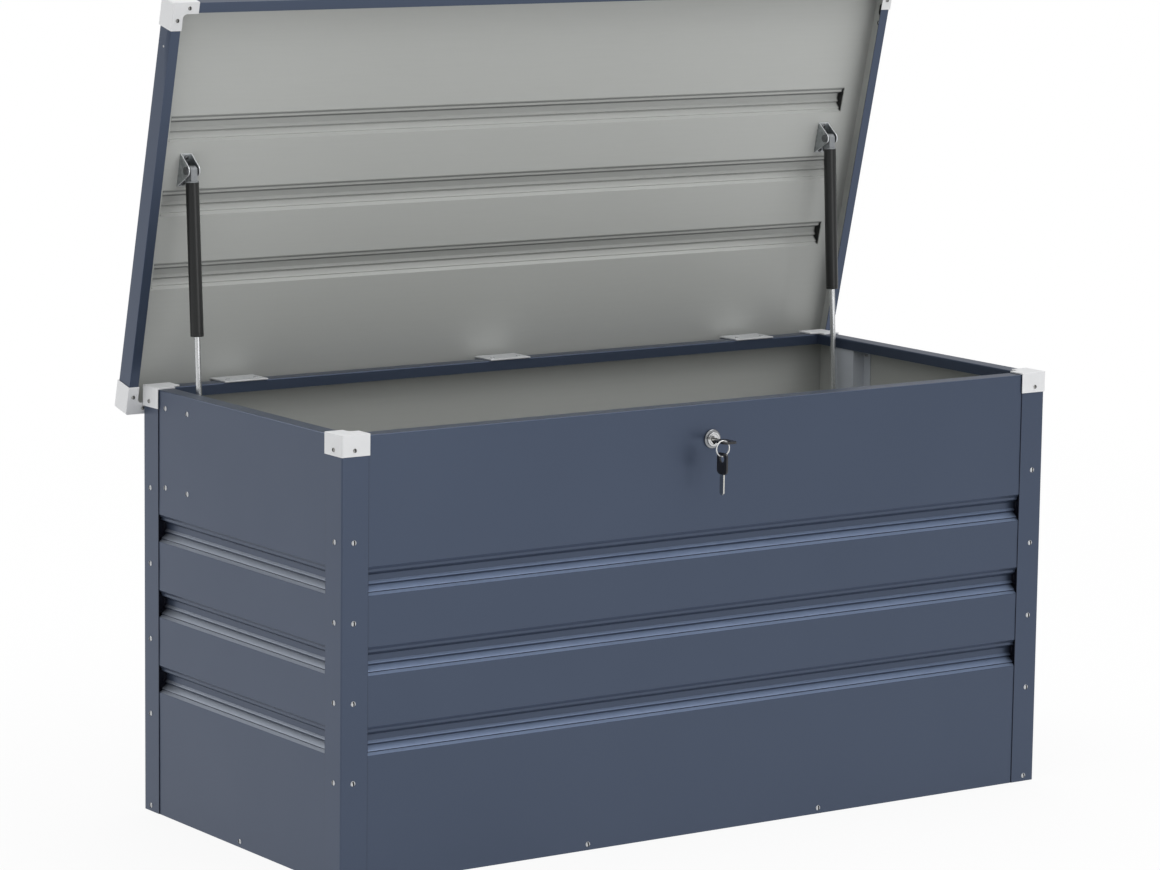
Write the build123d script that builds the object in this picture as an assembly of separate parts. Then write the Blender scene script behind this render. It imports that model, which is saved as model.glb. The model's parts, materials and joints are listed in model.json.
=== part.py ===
from build123d import *
import os
from math import atan2, degrees, hypot

# Deck storage box in millimetres: X along the length, Y to the back, Z up.
# The origin is on the ground, under the middle of the body. The lid is drawn closed, then opened.

# Body sheets
body_length = 1156.0        # over the corner posts
body_depth = 512.0
body_height = 585.0
sheet = 1.0                 # steel of the walls, the floor and the lid
rim_width = 25.0            # top edge of a wall, folded inwards
rim_drop = 15.0             # and then down
floor_flange = 16.0         # upturned edge of the floor
post_arm = 40.0
post_sheet = 1.2
post_round = 2.5

# Pressed grooves of the walls and the lid
groove_count = 3
groove_pitch = 104.0
groove_end = 32.0           # flat left beyond a groove's end
groove_depth = 12.0
ledge_depth = 4.0
bead_depth = 8.8            # crest of the bead along the groove's floor
toe_depth = 12.0            # foot of the lower slope
step_depth = 5.2            # small step in the lower slope
groove_runs = [             # run down the sheet, depth reached at its end
    (4.5, ledge_depth), (3.2, ledge_depth), (5.0, groove_depth), (8.0, groove_depth), (3.0, bead_depth),
    (3.2, toe_depth), (6.0, ledge_depth), (1.5, step_depth), (3.2, 0.0)]

# Screws
head_radius = 3.6
head_height = 2.0
head_round_share = 0.6      # of a head's height
flat_head_height = 1.0      # on the hinges, under the closed lid
shank_radius = 1.6
shank_length = 8.0
hole_play = 0.1
screw_inset = 18.0          # from a corner's outer edge
floor_screw_height = 8.0
long_floor_count = 2        # floor screws of a long wall, between the posts
side_floor_count = 1

# Plastic corner caps
cap_wall = 1.5
cap_arm = 41.0
cap_top = 2.5
cap_drop = 26.0
cap_round = 3.0
cap_notch_round = 6.0
lid_cap_arm = 38.0
lid_cap_lap = 15.0          # reach over the lid's lip
lid_cap_screw = 23.5        # from the lid's corner

# Lid
lid_side_over = 22.0
lid_front_over = 24.0
lid_rear_over = 40.0
lid_wall = 30.0
lid_lip = 14.0
lid_gap = 4.0               # between the rim and the closed lid
open_angle = 76.6

# Hinges
hinge_places = [-433.0, 0.0, 433.0]
hinge_length = 68.0
hinge_back = 16.5           # axis behind the body
hinge_below = 11.0          # and below the rim
hinge_plate = 2.0
hinge_reach = 28.0          # plate over the rim
knuckle_radius = 4.0
knuckle_length = 24.0       # the lid's knuckle, between two of the body's
knuckle_play = 0.3
pin_radius = 2.0
running_play = 0.05
hinge_screw = 22.0          # screws from the hinge's middle
leaf_length = 60.0
leaf_rise = 24.0

# Gas struts
strut_inset = 40.0          # from the body's side
strut_drop = 20.0           # lid pivot below the closed lid's skin
foot_from_back = 87.0       # lower pivot
foot_below_rim = 110.0
tube_radius = 9.0
tube_bore = 8.0
tube_start = 16.0           # from the lid pivot
rod_radius = 4.0
piston_play = 0.06
piston_length = 8.0
piston_gap = 1.0            # to the gland, with the strut fully out
gland_length = 4.0
gland_plug = 5.0
eye_radius = 6.5
eye_thick = 10.0
pivot_radius = 4.0
sleeve_radius = 5.5         # rod end round its rod
sleeve_length = 9.0         # from the lower pivot
shut_gap = 1.5              # between the gland and the rod end, with the lid shut
stud_gap = 0.3              # open pivot, between the stud and its bracket

# Strut brackets
ear_gap = 14.0
ear_thick = 2.0
bracket_front = 18.0        # base in front of the pivot and behind it
bracket_rear = 29.0
ear_round = 8.0
pivot_head = 1.5
channel_web = 44.0
channel_flange = 15.0
channel_depth = 22.0
channel_sheet = 1.5
channel_height = 135.0
channel_below_rim = 11.0
channel_screw_drop = 12.0   # upper screws below the channel's top
channel_screw_rise = 15.0   # lower screws above its foot

# Lid corner braces
brace_side = 72.0
brace_height = 20.0
brace_slot = 18.0
brace_slot_width = 9.0
brace_slot_place = 43.0     # from the lid's front
brace_screw_place = 63.0
brace_past_cap = 12.0       # front screw beyond the cap's arm, and the brace's end beyond the screw

# Cam lock and keys
lock_below_rim = 47.5
barrel_radius = 9.5
plug_radius = 7.0
rosette_radius = 13.0
rosette_thick = 3.5
rosette_round = 1.7
barrel_proud = 2.2
nut_flats = 26.0
nut_thick = 5.0
cam_behind_rim = 4.0
cam_thick = 2.0
cam_length = 27.5
cam_width = 14.0
cam_round = 4.5
cam_finger = 22.0           # hook's reach from the lock axis
cam_finger_width = 8.0
spigot_radius = 4.0
cam_screw_radius = 5.5
cam_screw_thick = 3.0
keyway_play = 0.15
blade_width = 8.6
blade_thick = 2.2
blade_inside = 16.0
blade_outside = 10.0
blade_tip = 2.8             # slope at its end
blade_tip_play = 1.0
bow_length = 29.0
bow_width = 22.0
bow_thick = 3.0
bow_round = 6.0
bow_hole = 4.8
bow_rim = 4.0               # plastic left beside the hole
bow_hole_out = 7.0          # hole of the key in use, from the bow's middle towards its end
spare_rim = 3.5
spare_blade = 28.0
ring_radius = 10.4
ring_wire = 0.9
loose_play = 0.3

# Worked out from the sizes above
half_length = body_length / 2
half_depth = body_depth / 2
lid_length = body_length + 2 * lid_side_over
lid_front = -half_depth - lid_front_over
lid_rear = half_depth + lid_rear_over
lid_middle = (lid_front + lid_rear) / 2
lid_under = body_height + lid_gap
lid_top = lid_under + sheet
lid_low = lid_top - lid_wall
rim_edge = half_depth - post_sheet - rim_width
hinge_y = half_depth + hinge_back
hinge_z = body_height - hinge_below
opened = Pos(0, hinge_y, hinge_z) * Rot(-open_angle, 0, 0) * Pos(0, -hinge_y, -hinge_z)
groove_height = sum(run for run, depth in groove_runs)
groove_offsets = [(i - (groove_count - 1) / 2) * groove_pitch for i in range(groove_count)]
post_screw_heights = [
    body_height / 2 + (i - groove_count / 2) * groove_pitch for i in range(groove_count + 1)]
cap_screw_height = body_height - screw_inset
strut_x = half_length - strut_inset
foot_y = half_depth - foot_from_back
foot_z = body_height - foot_below_rim
pivot_y = lid_middle - groove_pitch / 2     # between the lid's front and middle ribs
pivot_z = lid_under - strut_drop
shut_length = hypot(foot_y - pivot_y, foot_z - pivot_z)
tube_end = shut_length - sleeve_length - shut_gap - gland_length
lock_z = body_height - lock_below_rim
cam_front = -rim_edge + cam_behind_rim
panel_face = -half_depth + post_sheet

walls = {
    "front": Pos(0, -half_depth, 0),
    "back": Pos(0, half_depth, 0) * Rot(0, 0, 180),
    "left": Pos(-half_length, 0, 0) * Rot(0, 0, -90),
    "right": Pos(half_length, 0, 0) * Rot(0, 0, 90)}
corners = {                 # side in X, side in Y, turn
    "front_left": (-1, -1, 0), "front_right": (1, -1, 90),
    "back_right": (1, 1, 180), "back_left": (-1, 1, 270)}
sides = {"left": -1, "right": 1}
spans = {"front": body_length, "back": body_length, "left": body_depth, "right": body_depth}


def block(xs, ys, zs):
    size = [high - low for low, high in (xs, ys, zs)]
    middle = [(high + low) / 2 for low, high in (xs, ys, zs)]
    return Pos(*middle) * Box(*size)


def along_x(radius, start, end):
    return Pos((start + end) / 2, 0, 0) * Rot(0, 90, 0) * Cylinder(radius, abs(end - start))


def along_y(radius, start, end):
    return Pos(0, (start + end) / 2, 0) * Rot(90, 0, 0) * Cylinder(radius, abs(end - start))


def along_z(radius, start, end):
    return Pos(0, 0, (start + end) / 2) * Cylinder(radius, abs(end - start))


def group(shapes, place=Pos(0, 0, 0)):
    return Compound(children=[solid for shape in shapes for solid in (place * shape).solids()])


def save(name, shape):
    shape.label = name
    export_step(shape, f"parts/{name}.step")


# A pan head screw: the head below the origin, the shank up
def screw(length=shank_length, height=head_height):
    head = along_z(head_radius, -height, 0)
    head = fillet(head.edges().sort_by(Axis.Z)[0], height * head_round_share)
    return head + along_z(shank_radius, 0, length)


def screw_hole(reach=3 * shank_length):
    return along_z(shank_radius + hole_play, -reach, reach)


into_wall = Rot(-90, 0, 0)
downwards = Rot(180, 0, 0)


# A pressed groove as two solids: the steel round it and the hollow. The top edge is on the X axis.
def groove(length):
    points = [(0.0, 0.0)]
    for run, depth in groove_runs:
        points.append((depth, points[-1][1] - run))
    hollow = make_face(Polyline(*points, close=True))
    steel = offset(hollow, sheet, kind=Kind.INTERSECTION)
    across = Plane.YZ
    bulk = extrude(across * steel, length / 2, both=True)
    bulk -= block((-length, length), (-3 * sheet, 0), (-2 * groove_height, groove_height))
    return bulk, extrude(across * hollow, length / 2 - sheet, both=True)


# A wall in its own frame: the post's outer face is y = 0 and the inside is +Y
def wall(length, rim_length, lip_length, holes):
    inner = post_sheet + sheet
    shape = block((-length / 2, length / 2), (post_sheet, inner), (0, body_height))
    rim_end = post_sheet + rim_width
    half_rim, half_lip = rim_length / 2, lip_length / 2
    shape += block((-half_rim, half_rim), (post_sheet, rim_end), (body_height - sheet, body_height))
    shape += block((-half_lip, half_lip), (rim_end - sheet, rim_end), (body_height - rim_drop, body_height))
    steel, hollow = groove(length - 2 * groove_end)
    for offset_z in groove_offsets:
        top = Pos(0, post_sheet, body_height / 2 + offset_z + groove_height / 2)
        shape = shape + top * steel - top * hollow
    for along, height in holes:
        shape -= Pos(along, 0, height) * into_wall * screw_hole()
    return shape


def post_holes(span):
    heights = post_screw_heights + [floor_screw_height, cap_screw_height]
    return [(side * (span / 2 - screw_inset), height) for side in (-1, 1) for height in heights]


def floor_places(span, count):
    return [span * ((i + 1) / (count + 1) - 0.5) for i in range(count)]


floor_row = {
    name: floor_places(span, side_floor_count if name in sides else long_floor_count)
    for name, span in spans.items()}


def channel_holes(side):
    top = body_height - channel_below_rim
    reach = channel_web / 2 + channel_flange / 2
    places = []
    for step in (-reach, reach):
        for height in (top - channel_screw_drop, top - channel_height + channel_screw_rise):
            places.append((sides[side] * (foot_y + step), height))
    return places


def long_wall(name):
    length = body_length - 2 * (post_sheet + sheet)
    lip_length = body_length - 2 * (post_sheet + rim_width)
    holes = post_holes(body_length) + [(along, floor_screw_height) for along in floor_row[name]]
    shape = wall(length, length, lip_length, holes)
    if name == "front":
        shape -= Pos(0, 0, lock_z) * along_y(barrel_radius + hole_play, -shank_length, shank_length)
    else:
        for x in hinge_places:
            for step in (-hinge_screw, hinge_screw):
                shape -= Pos(x + step, rim_width / 2 + post_sheet, body_height) * screw_hole(2 * sheet)
    return walls[name] * shape


def side_wall(name):
    length = body_depth - 2 * post_sheet
    lip_length = body_depth - 2 * (post_sheet + rim_width)
    holes = post_holes(body_depth) + [(along, floor_screw_height) for along in floor_row[name]]
    return walls[name] * wall(length, lip_length, lip_length, holes + channel_holes(name))


def floor_panel():
    half_x = half_length - post_sheet - sheet
    half_y = half_depth - post_sheet - sheet
    in_x, in_y = half_x - sheet, half_y - sheet
    shape = block((-half_x, half_x), (-half_y, half_y), (0, floor_flange))
    shape -= block((-in_x, in_x), (-in_y, in_y), (sheet, floor_flange))
    for name, span in spans.items():
        corner_row = [-span / 2 + screw_inset, span / 2 - screw_inset]
        for along in floor_row[name] + corner_row:
            shape -= walls[name] * Pos(along, 0, floor_screw_height) * into_wall * screw_hole()
    return shape


def corner_place(name, length=body_length, depth=body_depth):
    side_x, side_y, turn = corners[name]
    return Pos(side_x * length / 2, side_y * depth / 2, 0) * Rot(0, 0, turn)


# Corner pieces have their outer edge on the Z axis and their arms along +X and +Y
def angle_section(arm, width, start=0.0):
    return make_face(Polyline(
        (start, start), (arm, start), (arm, width), (width, width), (width, arm), (start, arm), close=True))


def corner_post():
    shape = extrude(angle_section(post_arm, post_sheet), body_height)
    outer_edge = shape.edges().filter_by(Axis.Z).sort_by(lambda edge: edge.center().X + edge.center().Y)[0]
    shape = fillet(outer_edge, post_round)
    for height in post_screw_heights + [floor_screw_height, cap_screw_height]:
        shape -= Pos(screw_inset, 0, height) * into_wall * screw_hole()
        shape -= Pos(0, screw_inset, height) * Rot(0, 90, 0) * screw_hole()
    return shape


def rounded_angle(arm, width, start, low, high):
    shape = Pos(0, 0, low) * extrude(angle_section(arm, width, start), high - low)
    uprights = shape.edges().filter_by(Axis.Z).sort_by(lambda edge: edge.center().X + edge.center().Y)
    shape = fillet(uprights[0], cap_round)
    notch = shape.edges().filter_by(Axis.Z).sort_by_distance((width, width, (low + high) / 2))[0]
    return fillet(notch, cap_notch_round)


def body_cap():
    width = post_sheet + rim_width
    shape = rounded_angle(cap_arm, width, -cap_wall, body_height - cap_drop, body_height + cap_top)
    shape -= block((0, 2 * cap_arm), (0, 2 * cap_arm), (0, body_height))
    shape -= Pos(screw_inset, 0, cap_screw_height) * into_wall * screw_hole()
    shape -= Pos(0, screw_inset, cap_screw_height) * Rot(0, 90, 0) * screw_hole()
    return shape


def lid_cap():
    shape = rounded_angle(lid_cap_arm, lid_cap_lap, -cap_wall, lid_low - cap_wall, lid_top + cap_wall)
    shape -= block((0, 2 * lid_cap_arm), (0, 2 * lid_cap_arm), (lid_low, lid_top))
    for place in lid_cap_screw_places():
        shape -= place * screw_hole(2 * cap_wall)
    return shape


def lid_cap_screw_places():
    height = lid_low - cap_wall
    return [Pos(lid_cap_screw, lid_lip / 2, height), Pos(lid_lip / 2, lid_cap_screw, height)]


def lid_corner(name):
    return Pos(0, lid_middle, 0) * corner_place(name, lid_length, lid_rear - lid_front)


def wall_screws(places, face):
    return [walls[name] * Pos(along, face, height) * into_wall * screw() for name, along, height in places]


def post_screws():
    places = []
    for name, span in spans.items():
        for along, height in post_holes(span):
            if height != cap_screw_height:
                places.append((name, along, height))
    return wall_screws(places, 0)


def cap_screws():
    places = []
    for name, span in spans.items():
        for side in (-1, 1):
            places.append((name, side * (span / 2 - screw_inset), cap_screw_height))
    return wall_screws(places, -cap_wall)


def floor_screws():
    return wall_screws(
        [(name, along, floor_screw_height) for name in walls for along in floor_row[name]], post_sheet)


def channel_screws():
    return wall_screws([(name, *place) for name in sides for place in channel_holes(name)], post_sheet)


# Hat-shaped channel on the inside of a side wall, in that wall's frame
def strut_channel(side):
    inner = post_sheet + sheet
    middle = sides[side] * foot_y
    half_web = channel_web / 2
    top = body_height - channel_below_rim
    heights = (top - channel_height, top)
    spread = half_web + channel_flange
    shape = block((-spread, spread), (inner, inner + channel_sheet), heights)
    shape += block((-half_web, half_web), (inner, inner + channel_depth), heights)
    hollow = half_web - channel_sheet
    shape -= block((-hollow, hollow), (0, inner + channel_depth - channel_sheet), (0, body_height))
    shape = Pos(middle, 0, 0) * shape
    for along, height in channel_holes(side):
        shape -= Pos(along, 0, height) * into_wall * screw_hole()
    return walls[side] * shape


# Hinge pieces, with the hinge's middle at x = 0
def hinge_body_leaf():
    half = hinge_length / 2
    leg_front = hinge_y - knuckle_radius
    leg = (leg_front, leg_front + hinge_plate)
    over = (body_height, body_height + hinge_plate)
    shape = block((-half, half), (half_depth - hinge_reach, leg[1]), over)
    shape += block((-half, half), leg, (hinge_z, over[1]))
    shape += Pos(0, hinge_y, hinge_z) * along_x(knuckle_radius, -half, half)
    room = knuckle_length / 2
    reach = knuckle_radius + hinge_plate
    shape -= block((-room, room), (hinge_y - reach, hinge_y + reach), (hinge_z - reach, body_height))
    shape -= Pos(0, hinge_y, hinge_z) * along_x(pin_radius + running_play, -half, half)
    for step in (-hinge_screw, hinge_screw):
        hole_y = half_depth - rim_width / 2 - post_sheet
        shape -= Pos(step, hole_y, body_height) * screw_hole()
    return shape


def hinge_lid_leaf():
    room = knuckle_length / 2 - knuckle_play
    inner = lid_rear - sheet
    leg_top = hinge_z + knuckle_radius
    shape = Pos(0, hinge_y, hinge_z) * along_x(knuckle_radius, -room, room)
    shape += block((-room, room), (hinge_y, inner), (leg_top - hinge_plate, leg_top))
    half = leaf_length / 2
    shape += block((-half, half), (inner - hinge_plate, inner), (lid_under - leaf_rise, lid_under - sheet))
    shape -= Pos(0, hinge_y, hinge_z) * along_x(pin_radius + running_play, -half, half)
    for step in (-hinge_screw, hinge_screw):
        shape -= Pos(step, inner, leaf_screw_height()) * into_wall * screw_hole()
    return shape


def leaf_screw_height():
    return lid_under - leaf_rise / 2


def hinge_rim_screws():
    place_y = half_depth - rim_width / 2 - post_sheet
    top = body_height + hinge_plate
    return [Pos(x + step, place_y, top) * downwards * screw(shank_length, flat_head_height)
            for x in hinge_places for step in (-hinge_screw, hinge_screw)]


def hinge_lid_screws():
    outwards = Rot(90, 0, 0)
    return [Pos(x + step, lid_rear, leaf_screw_height()) * outwards * screw()
            for x in hinge_places for step in (-hinge_screw, hinge_screw)]


def hinge_pins():
    half = hinge_length / 2
    return [Pos(x, hinge_y, hinge_z) * along_x(pin_radius, -half, half) for x in hinge_places]


# Lid, drawn closed
def lid_sheet():
    half = lid_length / 2
    shape = block((-half, half), (lid_front, lid_rear), (lid_low, lid_top))
    inner = block(
        (-half + sheet, half - sheet), (lid_front + sheet, lid_rear - sheet), (lid_low + sheet, lid_under))
    mouth = block(
        (-half + lid_lip, half - lid_lip), (lid_front + lid_lip, lid_rear - lid_lip),
        (lid_low, lid_low + sheet))
    shape = shape - inner - mouth
    steel, hollow = groove(lid_length - 2 * groove_end)
    for offset_y in groove_offsets:
        place = Pos(0, lid_middle + offset_y - groove_height / 2, lid_under) * Rot(90, 0, 0)
        shape = shape + place * steel - place * hollow
    for name in corners:
        for place in lid_cap_screw_places():
            shape -= lid_corner(name) * place * screw_hole(3 * cap_wall)
    for place in rivet_places() + brace_screw_places():
        shape -= place * screw_hole(2 * head_height)
    for x in hinge_places:
        for step in (-hinge_screw, hinge_screw):
            shape -= Pos(x + step, lid_rear, leaf_screw_height()) * into_wall * screw_hole(2 * sheet)
    return shape


def lid_cap_screws():
    return [lid_corner(name) * place * screw() for name in corners for place in lid_cap_screw_places()]


# Angle in a front corner of the lid, with a slot in its side arm
def lid_brace(side):
    out = lid_length / 2 - sheet
    front = lid_front + sheet
    middle = (lid_low + sheet + lid_under) / 2
    heights = (middle - brace_height / 2, middle + brace_height / 2)
    shape = block((out - sheet, out), (front, front + brace_side), heights)
    front_arm = lid_cap_arm + 2 * brace_past_cap
    shape += block((out - front_arm, out), (front, front + sheet), heights)
    slot = extrude(Plane.YZ * SlotOverall(brace_slot, brace_slot_width), 2 * sheet, both=True)
    shape -= Pos(out, lid_front + brace_slot_place, middle) * slot
    if sides[side] < 0:
        shape = mirror(shape, Plane.YZ)
    for place in brace_screw_places():
        shape -= place * screw_hole(2 * head_height)
    return shape


def brace_screw_places():
    middle = (lid_low + sheet + lid_under) / 2
    inner = lid_length / 2 - 2 * sheet
    places = []
    for side in sides.values():
        towards_wall = Rot(0, side * 90, 0)
        places.append(Pos(side * inner, lid_front + brace_screw_place, middle) * towards_wall)
        along = lid_length / 2 - lid_cap_arm - brace_past_cap
        places.append(Pos(side * along, lid_front + 2 * sheet, middle) * Rot(90, 0, 0))
    return places


def brace_screws():
    return [place * screw(3 * sheet) for place in brace_screw_places()]


def ear_outline():
    foot = Polyline((-bracket_front, 0), (bracket_rear, 0))
    apex = Pos(0, -strut_drop) * CenterArc((0, 0), ear_round, 0, 360)
    return make_hull(foot.edges() + apex.edges())


# Bracket with two ears under the lid
def lid_bracket(side):
    x = sides[side] * strut_x
    half = ear_gap / 2 + ear_thick
    ears = extrude(Plane.YZ * ear_outline(), half, both=True)
    room = ear_gap / 2
    ears -= block((-room, room), (-bracket_rear, 2 * bracket_rear), (-2 * strut_drop, -ear_thick))
    ears -= Pos(0, 0, -strut_drop) * along_x(pivot_radius + running_play, -half, half)
    shape = Pos(x, pivot_y, lid_under) * ears
    for place in rivet_places():
        shape -= place * screw_hole(2 * ear_thick)
    return shape


def rivet_places():
    steps = (-bracket_front + head_radius + ear_thick, bracket_rear - head_radius - ear_thick)
    return [Pos(side * strut_x, pivot_y + step, lid_under - ear_thick)
            for side in sides.values() for step in steps]


def bracket_rivets():
    return [place * screw(ear_thick + sheet) for place in rivet_places()]


def bracket_pins():
    half = ear_gap / 2 + ear_thick
    pin = along_x(pivot_radius, -half, half)
    for end in (-half - pivot_head, half):
        pin += along_x(pivot_radius + pivot_head, end, end + pivot_head)
    return [Pos(side * strut_x, pivot_y, pivot_z) * pin for side in sides.values()]


# Struts run from the lid pivot, at z = 0, towards the lower pivot along +Z
def strut_line():
    turned = opened * Pos(0, pivot_y, pivot_z)
    step_y = foot_y - turned.position.Y
    step_z = foot_z - turned.position.Z
    return turned.position, hypot(step_y, step_z), degrees(atan2(-step_y, step_z))


def strut_place(side):
    start, length, turn = strut_line()
    return Pos(sides[side] * strut_x, start.Y, start.Z) * Rot(turn, 0, 0)


def strut_eye():
    half = eye_thick / 2
    shape = along_x(eye_radius, -half, half)
    shape += block((-half, half), (-eye_radius, eye_radius), (0, tube_start - ear_thick))
    shape += along_z(tube_radius, tube_start - ear_thick, tube_start)
    return shape - along_x(pivot_radius + running_play, -half, half)


def strut_tube():
    return along_z(tube_radius, tube_start, tube_end) - along_z(tube_bore, tube_start, tube_end)


def strut_gland():
    shape = along_z(tube_radius, tube_end, tube_end + gland_length)
    shape += along_z(tube_bore - piston_play, tube_end - gland_plug, tube_end)
    return shape - along_z(rod_radius + running_play, tube_end - gland_plug, tube_end + gland_length)


def strut_rod():
    start, length, turn = strut_line()
    stop = tube_end - gland_plug - piston_gap
    shape = along_z(rod_radius, stop, length - eye_radius)
    return shape + along_z(tube_bore - piston_play, stop - piston_length, stop)


def rod_end(side):
    start, length, turn = strut_line()
    half = eye_thick / 2
    face = strut_inset - post_sheet - sheet - channel_depth
    shape = Pos(0, 0, length) * along_x(eye_radius, -half, half)
    shape += Pos(0, 0, length) * along_x(pivot_radius, 0, sides[side] * (face - stud_gap))
    shape += along_z(sleeve_radius, length - sleeve_length, length)
    return shape - along_z(rod_radius, 0, length - eye_radius)


# Lock pieces, about an axis along Y
def lock_barrel():
    shape = along_y(barrel_radius, panel_face - rosette_thick - barrel_proud, cam_front - cam_thick)
    return shape - along_y(plug_radius + running_play, panel_face - shank_length, cam_front)


def lock_rosette():
    shape = along_y(rosette_radius, panel_face - rosette_thick, panel_face)
    shape = fillet(shape.edges().group_by(Axis.Y)[0], rosette_round)
    return shape - along_y(barrel_radius + hole_play, panel_face - rosette_thick, panel_face)


def lock_nut():
    inner = panel_face + sheet
    hexagon = RegularPolygon(nut_flats / 2, 6, major_radius=False)
    shape = Pos(0, inner + nut_thick, 0) * extrude(Plane.XZ * hexagon, nut_thick)
    return shape - along_y(barrel_radius + hole_play, inner, inner + nut_thick)


def lock_plug():
    face = panel_face - rosette_thick - barrel_proud
    shape = along_y(plug_radius, face, cam_front) + along_y(spigot_radius, cam_front, cam_front + cam_thick)
    half = blade_width / 2 + keyway_play
    thick = blade_thick / 2 + keyway_play
    return shape - block((-half, half), (face, face + blade_inside + blade_tip_play), (-thick, thick))


# Hook cam, drawn unlocked: the arm to -X and the finger up
def lock_cam():
    low, high = -cam_width / 2, cam_width / 2
    inner = cam_length - cam_finger_width
    outline = make_face(Polyline(
        (high, low), (high, high), (-inner, high), (-inner, cam_finger), (-cam_length, cam_finger),
        (-cam_length, low), close=True))
    outline = fillet(outline.vertices().group_by(Axis.X)[-1], cam_round)
    shape = Pos(0, cam_front + cam_thick, 0) * extrude(Plane.XZ * outline, cam_thick)
    return shape - along_y(spigot_radius + running_play, cam_front, cam_front + cam_thick)


def cam_screw():
    back = cam_front + cam_thick
    hexagon = RegularPolygon(cam_screw_radius, 6)
    return Pos(0, back + cam_screw_thick, 0) * extrude(Plane.XZ * hexagon, cam_screw_thick)


def bow(hole_x, hole_y):
    plate = RectangleRounded(bow_width, bow_length, bow_round)
    plate -= Pos(hole_x, hole_y) * Circle(bow_hole)
    return extrude(plate, bow_thick / 2, both=True)


def blade(length):
    flat = Rectangle(blade_width, length)
    flat = chamfer(flat.vertices().group_by(Axis.Y)[-1], blade_tip)
    return extrude(flat, blade_thick / 2, both=True)


# The key lies flat in the lock, its bow towards -Y
def key_blade():
    length = blade_inside + blade_outside
    face = panel_face - rosette_thick - barrel_proud
    return Pos(0, face - blade_outside + length / 2, 0) * blade(length)


def bow_middle():
    return panel_face - rosette_thick - barrel_proud - blade_outside - bow_length / 2


def key_bow():
    return Pos(0, bow_middle(), 0) * bow(-bow_width / 2 + bow_rim + bow_hole, -bow_hole_out)


# The ring hangs over the plastic between the bow's hole and its side
def ring_middle():
    clear = ring_radius - ring_wire - loose_play
    drop = (clear ** 2 - (bow_rim / 2) ** 2) ** 0.5 - bow_thick / 2
    return Pos((bow_rim - bow_width) / 2, bow_middle() - bow_hole_out, -drop)


def key_ring():
    return ring_middle() * Rot(90, 0, 0) * Torus(ring_radius, ring_wire)


# The spare key hangs in the ring with its flat sides to the left and right
def spare_place():
    hang = ring_middle() * Pos(0, 0, -ring_radius)
    hole_drop = bow_hole - ring_wire - loose_play
    top = bow_length / 2 - spare_rim - bow_hole
    return hang * Pos(0, 0, -hole_drop - top) * Rot(0, 90, 0) * Rot(0, 0, 90)


def spare_bow():
    return spare_place() * bow(0, bow_length / 2 - spare_rim - bow_hole)


def spare_key_blade():
    return spare_place() * Pos(0, -(bow_length + spare_blade) / 2, 0) * Rot(0, 0, 180) * blade(spare_blade)


def save_body():
    for name in ("front", "back"):
        save(f"{name}_panel", long_wall(name))
    for name in sides:
        save(f"{name}_panel", side_wall(name))
        save(f"strut_channel_{name}", strut_channel(name))
    save("floor_panel", floor_panel())
    post, cap = corner_post(), body_cap()
    for name in corners:
        save(f"corner_post_{name}", corner_place(name) * post)
        save(f"body_cap_{name}", corner_place(name) * cap)
    save("post_screws", group(post_screws()))
    save("cap_screws", group(cap_screws()))
    save("floor_screws", group(floor_screws()))
    save("channel_screws", group(channel_screws()))
    save("hinge_body_leaves", group([Pos(x, 0, 0) * hinge_body_leaf() for x in hinge_places]))
    save("hinge_pins", group(hinge_pins()))
    save("hinge_rim_screws", group(hinge_rim_screws()))


def save_lid():
    save("lid_sheet", opened * lid_sheet())
    cap = lid_cap()
    for name in corners:
        save(f"lid_cap_{name}", opened * lid_corner(name) * cap)
    for name in sides:
        save(f"lid_brace_{name}", opened * lid_brace(name))
        save(f"lid_bracket_{name}", opened * lid_bracket(name))
    save("lid_cap_screws", group(lid_cap_screws(), opened))
    save("brace_screws", group(brace_screws(), opened))
    save("bracket_rivets", group(bracket_rivets(), opened))
    save("bracket_pins", group(bracket_pins(), opened))
    save("hinge_lid_leaves", group([Pos(x, 0, 0) * hinge_lid_leaf() for x in hinge_places], opened))
    save("hinge_lid_screws", group(hinge_lid_screws(), opened))


def save_struts():
    for name in sides:
        place = strut_place(name)
        save(f"strut_eye_{name}", place * strut_eye())
        save(f"strut_tube_{name}", place * strut_tube())
        save(f"strut_gland_{name}", place * strut_gland())
        save(f"strut_rod_{name}", place * strut_rod())
        save(f"rod_end_{name}", place * rod_end(name))


def save_lock():
    place = Pos(0, 0, lock_z)
    pieces = {
        "lock_barrel": lock_barrel(), "lock_rosette": lock_rosette(), "lock_nut": lock_nut(),
        "lock_plug": lock_plug(), "lock_cam": lock_cam(), "cam_screw": cam_screw(),
        "key_blade": key_blade(), "key_bow": key_bow(), "key_ring": key_ring(),
        "spare_key_bow": spare_bow(), "spare_key_blade": spare_key_blade()}
    for name, shape in pieces.items():
        save(name, place * shape)


os.makedirs("parts", exist_ok=True)
save_body()
save_lid()
save_struts()
save_lock()
start, length, turn = strut_line()
print(f"strut {length:.3f} mm open, {shut_length:.3f} mm shut")
print(f"lid pivot open at {start.Y:.3f}, {start.Z:.3f}")
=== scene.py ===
import json
import math

import bmesh
import bpy
from mathutils import Matrix, Vector


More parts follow.
